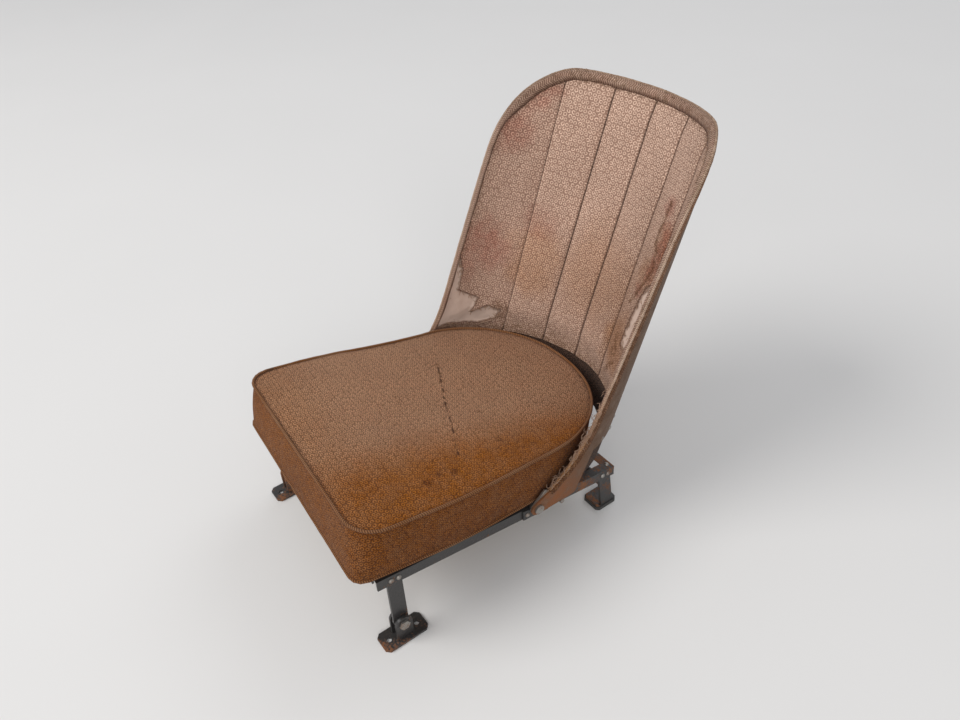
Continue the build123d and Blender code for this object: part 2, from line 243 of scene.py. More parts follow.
def segment_gap(s, t, a, b):
    """Distance of a place on the unrolled wall from a line between two others."""
    run = (b[0] - a[0], b[1] - a[1])
    part = ((s - a[0]) * run[0] + (t - a[1]) * run[1]) / (run[0] ** 2 + run[1] ** 2)
    part = min(max(part, 0), 1)
    return hypot(s - a[0] - part * run[0], t - a[1] - part * run[1])


def inside_polygon(s, t, polygon):
    """Distance in millimetres inside a polygon's edge, negative outside it."""
    inside, sides = False, list(zip(polygon, polygon[1:] + polygon[:1]))
    for a, b in sides:
        if (a[1] > t) != (b[1] > t) and s < a[0] + (t - a[1]) * (b[0] - a[0]) / (b[1] - a[1]):
            inside = not inside
    nearest = min(segment_gap(s, t, a, b) for a, b in sides)
    return nearest if inside else -nearest


def torn(s, t):
    """Distance in millimetres inside the torn places, with a ragged edge."""
    ragged = 2.2 * wobble((s, t), 9, 21.0) + 1.2 * wobble((s, t), 3.5, 23.0)
    return max(inside_polygon(s, t, TORN_FAR), inside_polygon(s, t, TORN_NEAR)) + ragged


def set_masks(mesh, masks):
    for mask, values in masks.items():
        mesh.attributes.new(mask, "FLOAT", "POINT").data.foreach_set("value", values)
    mesh.polygons.foreach_set("use_smooth", [True] * len(mesh.polygons))


def named(names, rows):
    """Masks by name, from a row of their values for each point."""
    return dict(zip(names.split(), zip(*rows)))


def linked(name, data):
    """A new object with its data, in the scene."""
    item = bpy.data.objects.new(name, data)
    SCENE.collection.objects.link(item)
    return item


def add_mesh(name, verts, faces, body, uvs=None, masks=None):
    """A piece from points in metres, riding on a body, with its weave map in
    metres and its masks of wear, stains and painted shade as named point attributes."""
    mesh = bpy.data.meshes.new(name)
    mesh.from_pydata([tuple(v) for v in verts], [], faces)
    if uvs:
        layer = mesh.uv_layers.new(name="weave")
        for loop in mesh.loops:
            layer.data[loop.index].uv = uvs[loop.vertex_index]
    set_masks(mesh, masks or {})
    mesh.update()
    piece = linked(name, mesh)
    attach(piece, body)
    return piece


def grid_faces(rows, columns, closed_columns=False, closed_rows=False):
    faces = []
    for r in range(rows if closed_rows else rows - 1):
        for c in range(columns if closed_columns else columns - 1):
            r2, c2 = (r + 1) % rows, (c + 1) % columns
            faces.append((r * columns + c, r * columns + c2, r2 * columns + c2, r2 * columns + c))
    return faces


def shifted(faces, count):
    """Faces whose points come after a count of other points."""
    return [tuple(k + count for k in face) for face in faces]


def border_places(columns, rows):
    """Places of the points round the border of a grid, in order."""
    places = [(i, 0) for i in range(columns)] + [(columns, i) for i in range(rows)]
    return places + [(columns - i, rows) for i in range(columns)] + [(0, rows - i) for i in range(rows)]


def round_faces(rows, columns, closed=False):
    """Faces of a tube, with its ends shut where it doesn't run in a ring."""
    faces = grid_faces(rows, columns, closed_columns=True, closed_rows=closed)
    if not closed:
        faces.append(tuple(range(columns))[::-1])
        faces.append(tuple((rows - 1) * columns + k for k in range(columns)))
    return faces


def tube(points, radius, sides=10, closed=False):
    """Vertices, faces and weave map of a round cord through points."""
    count = len(points)
    verts, uvs, run = [], [], 0.0
    for i, p in enumerate(points):
        before = points[(i - 1) % count] if closed or i else p
        after = points[(i + 1) % count] if closed or i < count - 1 else p
        along = (after - before).normalized()
        across = along.cross(Vector((0.12, 0.1, 1))).normalized()
        up = across.cross(along)
        size = radius(i / (count - 1)) if callable(radius) else radius
        if i:
            run += (p - points[i - 1]).length
        for k in range(sides):
            angle = 2 * pi * k / sides
            verts.append(p + (across * cos(angle) + up * sin(angle)) * size)
            uvs.append((run, size * angle))
    return verts, round_faces(count, sides, closed), uvs


# Wear, stains and some painted shade in millimetres: x, y, z, reach and strength, with no z for those on the
# cushion

BACK_WORN = (
    (-175, 562, 582, 42, 0.9), (-191, 512, 522, 46, 0.8), (-186, 540, 556, 30, 0.5),
    (-189, 440, 338, 50, 0.9), (-177, 451, 312, 42, 0.8), (-126, 523, 367, 40, 0.5),
    (-205, 400, 300, 40, 0.6), (122, 569, 483, 22, 0.8), (139, 547, 455, 24, 1.0),
    (138, 538, 430, 24, 1.0), (136, 531, 409, 24, 1.0), (128, 528, 385, 20, 0.9), (115, 524, 350, 18, 0.8),
)
BACK_OCHRE = (
    (-120, 509, 316, 60, 0.32), (-121, 495, 281, 60, 0.35), (0, 560, 300, 110, 0.28),
    (100, 500, 250, 60, 0.5), (200, 330, 200, 70, 0.9), (205, 380, 290, 50, 0.5),
    (140, 540, 440, 40, 0.3), (120, 528, 380, 40, 0.32),
)
BACK_DARK = (
    (171, 570, 595, 12, 0.7), (98, 501, 264, 14, 0.6), (97, 490, 235, 14, 0.7),
    # The last spot of the next row is broad: painted shade over the near side, with some dirt
    (-150, 441, 200, 30, 0.6), (-192, 361, 195, 30, 0.5), (170, 500, 340, 190, 0.4),
)
CUSHION_DARK = (
    (-81, 258, 4, 0.9), (-70, 253, 4, 0.8), (-56, 247, 5, 0.9), (-46, 243, 4, 0.9), (-36, 238, 5, 1.0),
    (-12, 226, 4, 0.8), (4, 217, 4, 0.9), (18, 210, 5, 0.8), (46, 197, 3, 0.7), (79, 181, 4, 0.8),
    (100, 171, 4, 0.7), (124, 159, 4, 0.8), (-20, 149, 6, 0.6), (-34, 151, 4, 0.5), (61, 244, 4, 0.6),
    (129, 231, 6, 0.7), (122, 238, 3, 0.6), (160, 273, 5, 0.7), (152, 135, 7, 0.9), (145, 112, 5, 0.8),
    (151, 90, 7, 0.9), (140, 124, 3, 0.7), (88, 204, 3, 0.5), (30, 120, 4, 0.35), (-90, 90, 5, 0.3),
)

# Brown worn streaks along the near wing, on the unrolled wall
STREAKS = (
    ((127, 640), (122, 612), (121, 581), (136, 560), (142, 536), (130, 505), (116, 485), (103, 466)),
    ((102, 398), (114, 384), (123, 365), (108, 348), (92, 332)),
)


def streak_value(s, t):
    """How far a place on the unrolled wall lies in a worn streak, from 0 to 1."""
    nearest = min(segment_gap(s, t, a, b) for line in STREAKS for a, b in zip(line, line[1:]))
    nearest += 3.5 * wobble((s, t), 14, 31.0) + 2.0 * wobble((s, t), 5, 33.0)
    return 0.85 * (1 - smooth(1.5, 9, nearest))


def mask_value(place, spots, seed, flat=False):
    """How far a place in millimetres lies in any of the spots, from 0 to 1."""
    total = 0.0
    for spot in spots:
        *centre, reach, strength = spot
        gap = dist(place[:2], centre) if flat else dist(place, centre)
        gap *= 1 + 0.35 * wobble(place, reach * 0.5, seed)
        total = max(total, strength * (1 - smooth(0.35 * reach, 1.1 * reach, gap)))
    return total


# Back padding: six panels between the wing edges and five seams

PANEL_COLUMNS = 38
PANEL_ROWS = 170
CROWN = 11.5
SEAM_DEPTH = 5.0
WING_DEPTH = 9.0
EDGE_DEPTH = 3.3
SEAM_WIDTH = (0.7, 1.3, 1.6, 1.45, 1.3)
# Heights of the lining's hem on the far and the near side
HEM_HEIGHTS = (164, 173)
# Places up the axis near the hem and at the foot of the wings' edges
HEM_LEVEL = 260
EDGE_FOOT = 214


def level(s, z):
    """Place up the leaning axis at which the low part of the wall has a height."""
    at = wall(s, HEM_LEVEL)
    v = (at.y * cos(TUB_LEAN) - at.z * sin(TUB_LEAN)) / MM
    return (z + v * sin(TUB_LEAN)) / cos(TUB_LEAN)


def lining_hem(s):
    """Place up the leaning axis at which the lining ends below."""
    return level(s, lerp(*HEM_HEIGHTS, smooth(-80, 120, s)) + 1.5 * wobble((s, 0, 0), 30, 12.0))


def padding_depth(s, t, panel, part):
    """Thickness of the padding at a place, with its crown, seams and edges."""
    place = wall(s, t) / MM
    gap_rim = rim_distance(s, t)
    gap_seam = min(abs(s - seam_place(k, t)) for k in range(5))
    if 0 < panel < 5:
        q = abs(2 * part - 1)
        inner = SEAM_DEPTH + (CROWN - SEAM_DEPTH) * (1 - q**2.4) ** 0.8
    else:
        inner = SEAM_DEPTH + (WING_DEPTH - SEAM_DEPTH) * (1 - (1 - smooth(0, 30, gap_seam)) ** 1.5)
    edge = strip_width(t) - 5
    depth = lerp(EDGE_DEPTH, inner, smooth(edge, edge + 34, gap_rim) ** 0.75)
    depth = lerp(3.6, depth, smooth(176, 215, place.z))
    depth += 0.9 * wobble(place, 55, 3.0) + 0.35 * wobble(place, 17, 9.0) * smooth(4, 20, gap_seam)
    pucker = 1 + 0.45 * wobble((t, s * 0.2, 0), 7, 5.0)
    depth -= 2.2 * pucker * exp(-(gap_seam / 1.4) ** 2)
    depth += 0.6 * wobble((t, 0, panel), 9, 7.0) * exp(-((gap_seam - 6) / 5) ** 2)
    gap_torn = torn(s, t)
    bare = smooth(-0.6, 0.8, gap_torn)
    depth -= min(2.6, 0.6 * depth) * bare
    depth += bare * (1.5 * wobble((s, t * 0.6, 3), 15, 2.0) + 0.8 * wobble((s * 0.7, t, 4), 6, 2.0))
    depth += 1.3 * exp(-((gap_torn + 3) / 2.5) ** 2)
    return max(depth, 1.2)


def inner_edge(side):
    """s, t pairs of one side's line along the binding, from its foot up to the seam."""
    seam = 4 if side > 0 else 0
    line = []
    for i, (s, t) in enumerate(RIM):
        if s * side <= 0:
            continue
        ns, nt = rim_normal(i)
        inset = strip_width(t) - 2.5
        p = (s + inset * ns, t + inset * nt)
        if abs(p[0]) >= abs(seam_place(seam, p[1])):
            line.append(p)
    line.sort(key=lambda p: p[1])
    return line


def lookup(line, t):
    for a, b in zip(line, line[1:]):
        if a[1] <= t <= b[1]:
            return lerp(a[0], b[0], (t - a[1]) / max(b[1] - a[1], 1e-6))
    return line[0][0] if t < line[0][1] else line[-1][0]


def top_of(s):
    """Height t of the line along the binding over a place of the rear wall."""
    best = min(RIM, key=lambda p: abs(p[0] - s) + (0 if p[1] > 700 else 1000))
    return best[1] - strip_width(best[1]) + 2.5


def back_padding():
    edges = {side: inner_edge(side) for side in (1, -1)}
    columns = []
    for panel in range(6):
        last = PANEL_COLUMNS + (1 if panel == 5 else 0)
        for c in range(last):
            x = c / PANEL_COLUMNS
            columns.append((panel, 0.62 * x + 0.38 * (0.5 - 0.5 * cos(pi * x))))
    seam_tops = []
    for k in range(5):
        t = 760.0
        for _ in range(4):
            t = top_of(seam_place(k, t))
        seam_tops.append(t)
    seam_tops[0] = edges[-1][-1][1]
    seam_tops[4] = edges[1][-1][1]
    verts, uvs, rows = [], [], []
    for r in range(PANEL_ROWS + 1):
        rise = 1 - (1 - r / PANEL_ROWS) ** 1.35
        for panel, part in columns:
            if 0 < panel < 5:
                s = lerp(seam_place(panel - 1, 550), seam_place(panel, 550), part)
                top = top_of(s)
                top = lerp(seam_tops[panel - 1], top, part * 8) if part < 0.125 else top
                top = lerp(seam_tops[panel], top, (1 - part) * 8) if part > 0.875 else top
                t = lerp(lining_hem(s), top, rise)
                s = lerp(seam_place(panel - 1, t), seam_place(panel, t), part)
            else:
                side = 1 if panel == 5 else -1
                seam = 4 if panel == 5 else 0
                out = part if panel == 5 else 1 - part
                top = seam_tops[seam]
                seam_t = lerp(lining_hem(seam_place(seam, HEM_LEVEL)), top, rise)
                edge_t = lerp(EDGE_FOOT, top, rise)
                s = lerp(seam_place(seam, seam_t), lookup(edges[side], edge_t), out)
                t = lerp(seam_t, edge_t, out)
            point = wall(s, t, padding_depth(s, t, panel, part))
            place = point / MM
            verts.append(point)
            uvs.append((s * MM, t * MM))
            gap, seam = min((abs(s - seam_place(k, t)), k) for k in range(5))
            # Painted shade at the padding's foot behind the cushion, and darker towards the bottom up to 330
            # mm
            low = 0.12 * (1 - smooth(240, 330, place.z)) + 0.55 * (1 - smooth(160, 215, place.z))
            # Painted shade, with some dirt, over the near side, and painted shade beside the binding
            near_edge_shade_and_dirt = 0.26 * smooth(105, 185, s) + 0.2 * (1 - smooth(6, 40, rim_distance(s, t)))
            rows.append((mask_value(place, BACK_WORN, 1.0), mask_value(place, BACK_OCHRE, 2.0),
                         max(mask_value(place, BACK_DARK, 3.0), streak_value(s, t), low + near_edge_shade_and_dirt),
                         gap / SEAM_WIDTH[seam], torn(s, t)))
    faces = grid_faces(PANEL_ROWS + 1, len(columns))
    piece = add_mesh("back_padding", verts, faces, "back", uvs,
                     named("worn ochre dark gap torn", rows))
    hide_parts(*[f"back_flute_{k}" for k in range(1, 5)], "wing_pad_left", "wing_pad_right")
    return piece


# Binding folded over the rim, and the piping along its front edge

BINDING_SECTION = (
    (11.5, 3.2), (11.0, 4.6), (9.6, 5.2), (6, 5.4), (2.5, 5.2), (0.4, 4.6), (-0.9, 3.4), (-1.5, 1.5),
    (-1.7, -1.5), (-1.5, -3.0), (-0.6, -4.2), (1.5, -4.7), (6, -4.8), (9.5, -4.6), (10.4, -3.9), (10.2, -3.1),
    (5, -3.05), (0.2, -3.0), (-0.3, -1.0), (-0.3, 1.5), (0.4, 2.6), (5, 3.0),
)


def rim_range(clear):
    """Indices of the rim whose points are at least a distance from the pivots."""
    flat = [rim_point(i, 0, 0) / MM for i in range(len(RIM))]
    return [i for i, p in enumerate(flat) if dist((p.y, p.z), PIVOT) > clear]


def binding():
    keep = rim_range(30)
    verts, uvs, rows, run = [], [], [], 0.0
    for k, i in enumerate(keep):
        if k:
            run += dist(RIM[keep[k - 1]], RIM[i])
        around = 0.0
        wide = strip_width(RIM[i][1]) / 11.5
        for j, (inset, depth) in enumerate(BINDING_SECTION):
            if j:
                around += dist(BINDING_SECTION[j - 1], BINDING_SECTION[j])
            outer = 1.0 if depth > 0 and inset > 8 else 0.0
            inset *= wide if depth > 0 and inset > 1 else 1
            sway = outer * (1.2 * wobble((run, 0, 0), 40, 1.0) + 0.7 * wobble((run, 0, 0), 9, 2.0))
            lift = 0.45 * wobble((run, j, 0), 14, 4.0)
            flat = 0.78 + 0.22 * smooth(320, 420, RIM[i][1]) if depth > 0 else 1
            point = rim_point(i, inset + sway, depth * flat + lift * (1 if depth > 0 else -1))
            place = point / MM
            verts.append(point)
            uvs.append((run * MM, around * MM))
            low = 1 - smooth(150, 300, place.z)
            # Painted shade on the binding's outside faces, strongest low down, through the dark and ochre
            # masks
            outside, lower = smooth(-2.5, 2.5, -depth), 1 - smooth(330, 500, place.z)
            over = smooth(640, 700, RIM[i][1])
            rim_dark = max(0.12 + 0.25 * over, 0.85 * outside * (0.5 + 0.5 * lower))
            if depth > 0 and inset > 1.5:
                rim_dark = max(rim_dark, 0.55 * (1 - over))
            rows.append((0.35 + 0.35 * wobble(place, 30, 1.0),
                         max(0.9 * low if place.x > 0 else 0.3 * low, 0.6 * smooth(1.5, 4, -depth)),
                         rim_dark, 0.8 * outer))
    faces = round_faces(len(keep), len(BINDING_SECTION))
    masks = named("worn ochre dark seam", rows)
    piece = add_mesh("edge_binding", verts, faces, "back", uvs, masks)
    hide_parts("rim_binding")
    return piece


def rim_piping():
    keep = rim_range(33)
    points, heights, girths, along = [], [], [], 0.0
    for i in keep:
        p = RIM[i]
        points.append(rim_point(i, -1.9 + 0.3 * wobble((*p, 0), 25), -1.6 + 0.4 * wobble((*p, 5), 30)))
        heights.append(smooth(640, 705, p[1]))
        along += RIM_STEP
        foot = 1 - smooth(300, 360, p[1])
        coarse, fine = wobble((along, 0, 0), 7, 3.0), wobble((along, 0, 0), 3.4, 5.0)
        girths.append((2.0 + (0.22 + 0.5 * foot) * coarse + 0.2 * fine) * MM)
    verts, faces, uvs = tube(points, lambda part: girths[round(part * (len(points) - 1))], 9)
    rows = []
    for v, height in zip(verts, [h for h in heights for _ in range(9)]):
        low = 1 - smooth(150, 330, v.z / MM)
        dark = 0.55 * height + 0.35 * max(0.0, wobble(v / MM, 16, 4.0))
        rows.append((0.2, (0.75 if v.x > 0 else 0.25) * low, dark))
    return add_mesh("edge_piping", verts, faces, "back", uvs, named("worn ochre dark", rows))


# Frayed ends: side, range up the axis, number of threads, their length, lift and thickness

FRAYED = (
    (1, (215, 350), 190, 14, 0.8, 0.62), (1, (350, 640), 110, 10, 0.8, 0.42),
    (0, (700, 1000), 230, 5, 0.9, 0.42), (-1, (280, 640), 40, 7, 0.8, 0.42),
)


def frayed_threads():
    """Loose ends of worn cloth along the binding and round the torn places."""
    chance = random.Random(11)
    verts, faces, uvs = [], [], []

    def thread(s, t, depth, heading, length, lift, thick=0.6):
        points = []
        steps = max(3, round(length / 1.3))
        curl = chance.uniform(-0.28, 0.28)
        for k in range(steps + 1):
            part = k / steps
            points.append(wall(s, t, depth + lift * sin(pi * 0.8 * part) - 0.5 * (1 - part)))
            heading += curl + chance.gauss(0, 0.25)
            s += 1.3 * cos(heading)
            t += 1.3 * sin(heading)
        v, f, uv = tube(points, lambda part: thick * (1 - 0.4 * part) * MM, 5)
        faces.extend(shifted(f, len(verts)))
        verts.extend(v)
        uvs.extend(uv)

    for side, (low, high), count, length, lift, thick in FRAYED:
        band = [i for i, (s, t) in enumerate(RIM) if s * side >= 0 and low < t < high]
        for _ in range(count):
            i = chance.choice(band)
            ns, nt = rim_normal(i)
            s, t = RIM[i]
            inset, depth = chance.uniform(-1.5, strip_width(t) + 2), 5.6
            along = atan2(nt, ns) + chance.choice((-1, 1)) * chance.uniform(0.6, 1.9)
            if side == 0 and inset < 2:
                along = atan2(-nt, -ns) + chance.gauss(0, 0.7)
            if side == 1 and chance.random() < 0.9:
                inset, depth = chance.uniform(-2.9, -1.9), chance.uniform(-4.5, 2.0)
                along = atan2(nt, ns) + chance.choice((-1, 1)) * chance.gauss(pi / 2 + 0.12, 0.3)
            length_here = length * chance.uniform(0.5, 1.5)
            thread(s + inset * ns, t + inset * nt, depth, along, length_here, lift, thick)
    for polygon, count in ((TORN_FAR[:11], 150), (TORN_NEAR[:7], 90)):
        for _ in range(count):
            k = chance.randrange(len(polygon) - 1)
            (s1, t1), (s2, t2) = polygon[k], polygon[k + 1]
            part = chance.random()
            s, t = lerp(s1, s2, part), lerp(t1, t2, part)
            if rim_distance(s, t) < 4:
                continue
            base = padding_depth(s, t, 0 if s < 0 else 5, 0.5)
            thread(s, t, base, chance.uniform(-pi, pi), chance.uniform(3, 10), chance.uniform(0.6, 2.0))
    rows = [(0.3, 0.2, 0.35 * smooth(540, 580, v.z / MM) + 0.2) for v in verts]
    return add_mesh("frayed_threads", verts, faces, "back", uvs, named("worn ochre dark", rows))


# Loose hem of the lining, a near-black sheet that is painted shade behind the cushion: cells round it and
# down it, half its length and its drop

FLAP_COLUMNS = 140
FLAP_ROWS = 12
FLAP_HALF = 292
FLAP_DROP = 62


def lining_flap_painted_shade():
    """Loose hem of the lining, hanging behind the cushion below the tub, near-black as painted shade."""
    columns, rows = FLAP_COLUMNS, FLAP_ROWS
    verts, uvs = [], []
    for depth in (0.2, 1.5):
        for r in range(rows + 1):
            for c in range(columns + 1):
                s = lerp(-FLAP_HALF, FLAP_HALF, c / columns)
                top = lining_hem(s) + 12
                hang = r / rows
                t = lerp(top, top - FLAP_DROP + 4 * wobble((s, 0, 0), 30, 2.0), hang)
                ripple = 1.6 * wobble((s, t * 0.25, 0), 16, 7.0) * hang
                verts.append(wall(s, t, depth + 0.6 + ripple))
                uvs.append((s * MM, t * MM))
    size = (rows + 1) * (columns + 1)
    layer = grid_faces(rows + 1, columns + 1)
    faces = [face[::-1] for face in layer] + shifted(layer, size)
    edge = [r * (columns + 1) + c for c, r in border_places(columns, rows)]
    for a, b in zip(edge, edge[1:] + edge[:1]):
        faces.append((a, b, b + size, a + size))
    piece = add_mesh("lining_flap_painted_shade", verts, faces, "back", uvs)
    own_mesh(piece)
    return piece


# Cushion

REAR_HALF = (
    (204, -140), (203, -90), (199, -38), (193, 13), (187, 60), (182, 100), (175, 132), (161, 165), (138, 198),
    (104, 227), (58, 248), (0, 256), (-58, 248), (-104, 227), (-138, 198), (-162, 165), (-177, 132),
    (-184, 100), (-185, 60), (-188, 13), (-194, -38), (-202, -90), (-206, -140),
)
CUSHION_FRONT = -239
# Half width and radius of the near and far front corners, at the top and the foot
TOP_CORNERS = ((204, 44), (207, 34))
FOOT_CORNERS = ((205, 20), (206, 24))
OUTLINE_STEPS = 720
CUSHION_CELLS = 60
BORDER_ROWS = 13
# Frames of the simulation, and how far at most it moves the top and the sides
SIMULATED_FRAMES = 20
TOP_SWELL = 24
SIDE_SWELL = 7
CUSHION_MATRIX = (Matrix.Translation(Vector(CUSHION_MIDDLE))
                  @ Matrix.Rotation(-atan(CUSHION_SLOPE), 4, "X")
                  @ Matrix.Rotation(-radians(CUSHION_YAW), 4, "Z"))


def front_corner(half, radius, side):
    """Points round a front corner of the cushion, from the front to the side."""
    turns = [radians(90 * k / 5) for k in range(6)]
    return [(side * (half - radius + radius * sin(w)), CUSHION_FRONT + radius - radius * cos(w))
            for w in turns]


def outline_radius(corners):
    """Reach of the cushion's outline from its middle, for even steps of direction."""
    (near, near_round), (far, far_round) = corners
    outline = [(0, CUSHION_FRONT), (80, CUSHION_FRONT), (130, CUSHION_FRONT)]
    outline += front_corner(near, near_round, 1) + list(REAR_HALF)
    outline += front_corner(far, far_round, -1)[::-1] + [(-130, CUSHION_FRONT), (-80, CUSHION_FRONT)]
    dense = []
    count = len(outline)
    for i in range(count):
        p = [Vector(outline[(i + k) % count]) for k in (-1, 0, 1, 2)]
        for j in range(30):
            u = j / 30
            dense.append(0.5 * (2 * p[1] + (p[2] - p[0]) * u + (2 * p[0] - 5 * p[1] + 4 * p[2] - p[3]) * u**2
                                + (3 * p[1] - p[0] - 3 * p[2] + p[3]) * u**3))
    table = sorted((atan2(p.y, p.x), p.length) for p in dense)
    table = [(table[-1][0] - 2 * pi, table[-1][1])] + table + [(table[0][0] + 2 * pi, table[0][1])]
    result, k = [], 0
    for i in range(OUTLINE_STEPS):
        want = -pi + 2 * pi * i / OUTLINE_STEPS
        while table[k + 1][0] < want:
            k += 1
        part = (want - table[k][0]) / (table[k + 1][0] - table[k][0])
        result.append(lerp(table[k][1], table[k + 1][1], part))
    return result


def outline_turn(x, y):
    """Direction from the cushion's middle, as a place in the tables of its reach."""
    return (atan2(y, x) + pi) / (2 * pi) * OUTLINE_STEPS


TOP_REACH = outline_radius(TOP_CORNERS)
FOOT_REACH = outline_radius(FOOT_CORNERS)
OUTLINE_RUN = [0.0]
for k in range(OUTLINE_STEPS):
    turns = [2 * pi * (k + i) / OUTLINE_STEPS for i in (0, 1)]
    a, b = (TOP_REACH[(k + i) % OUTLINE_STEPS] * Vector((cos(w), sin(w))) for i, w in enumerate(turns))
    OUTLINE_RUN.append(OUTLINE_RUN[-1] + (b - a).length)


def run_round(x, y, base):
    """Length in metres round the outline to a direction that is near another."""
    turn = atan2(y, x)
    lap = -1 if turn - base > pi else 1 if base - turn > pi else 0
    place = outline_turn(x, y)
    k = min(int(place), OUTLINE_STEPS - 1)
    return (lerp(OUTLINE_RUN[k], OUTLINE_RUN[k + 1], place - k) + lap * OUTLINE_RUN[-1]) * MM


def on_outline(a, b, low=0.0):
    """Place in the outline of a point of the square from -1 to 1, at the top or lower."""
    x, y = a * sqrt(1 - b * b / 2), b * sqrt(1 - a * a / 2)
    if hypot(x, y) < 1e-9:
        return 0.0, 0.0
    turn = outline_turn(x, y)
    k, after, part = int(turn) % OUTLINE_STEPS, (int(turn) + 1) % OUTLINE_STEPS, turn - int(turn)
    top, foot = (lerp(reaches[k], reaches[after], part) for reaches in (TOP_REACH, FOOT_REACH))
    reach = lerp(top, foot, low)
    return x * reach, y * reach


def cushion_mesh():
    """Closed cover of the cushion, from the top down its border to the bottom,
    with the rings of its two seams and the points that the simulation holds."""
    n = CUSHION_CELLS
    verts, faces, index = [], [], {}
    ring = border_places(n, n)
    whole = [(i, j) for j in range(n + 1) for i in range(n + 1)]
    for row in range(BORDER_ROWS + 1):
        part = row / BORDER_ROWS
        swell = 1 + 0.008 * sin(pi * part)
        z = lerp(CUSHION_TOP, CUSHION_BOTTOM, part)
        for i, j in ring if 0 < row < BORDER_ROWS else whole:
            x, y = on_outline(2 * i / n - 1, 2 * j / n - 1, smooth(0, 1, part))
            index[row, i, j] = len(verts)
            verts.append((x * swell, y * swell + CUSHION_LEAN * (z / CUSHION_TOP - 1), z))
    for j in range(n):
        for i in range(n):
            quad = [(i, j), (i + 1, j), (i + 1, j + 1), (i, j + 1)]
            faces.append([index[0, a, b] for a, b in quad])
            faces.append([index[BORDER_ROWS, a, b] for a, b in reversed(quad)])
    for row in range(BORDER_ROWS):
        for a, b in zip(ring, ring[1:] + ring[:1]):
            faces.append([index[row, *a], index[row + 1, *a], index[row + 1, *b], index[row, *b]])
    seams = [[index[row, i, j] for i, j in ring] for row in (0, BORDER_ROWS)]
    held = set(seams[0]) | {k for key, k in index.items() if key[0] == BORDER_ROWS}
    return verts, faces, seams, held


def beside_wings(y):
    """How far a place along the cushion lies between the wings, from 0 to 1."""
    return smooth(-90, -40, y) * (1 - smooth(120, 150, y))


def cushion_simulation(piece, held):
    """Inflates the cover between its held seams and keeps the capped result."""
    group = piece.vertex_groups.new(name="held")
    group.add(sorted(held), 1.0, "REPLACE")
    rest = [v.co.copy() for v in piece.data.vertices]
    cloth = piece.modifiers.new("inflate", "CLOTH")
    settings = {"quality": 5, "mass": 0.3, "tension_stiffness": 12, "compression_stiffness": 8,
                "shear_stiffness": 4, "bending_stiffness": 0.4, "use_pressure": True,
                "uniform_pressure_force": 5, "vertex_group_mass": "held"}
    for setting, value in settings.items():
        setattr(cloth.settings, setting, value)
    cloth.settings.effector_weights.gravity = 0
    cloth.collision_settings.use_collision = False
    cloth.point_cache.frame_start = 1
    cloth.point_cache.frame_end = SIMULATED_FRAMES
    for number in range(1, SIMULATED_FRAMES + 1):
        SCENE.frame_set(number)
    swelled = piece.evaluated_get(bpy.context.evaluated_depsgraph_get()).to_mesh()
    moved = [v.co.copy() for v in swelled.vertices]
    piece.modifiers.remove(cloth)
    SCENE.frame_set(1)
    for v, a, b in zip(piece.data.vertices, rest, moved):
        on_top = a.z > (CUSHION_TOP - 0.5) * MM
        cap = (TOP_SWELL if on_top else SIDE_SWELL * (1 - 0.8 * beside_wings(a.y / MM))) * MM
        step = b - a
        soft = cap * tanh(step.length / cap) if step.length > 0 else 0
        v.co = a + step.normalized() * soft
    piece.vertex_groups.remove(group)


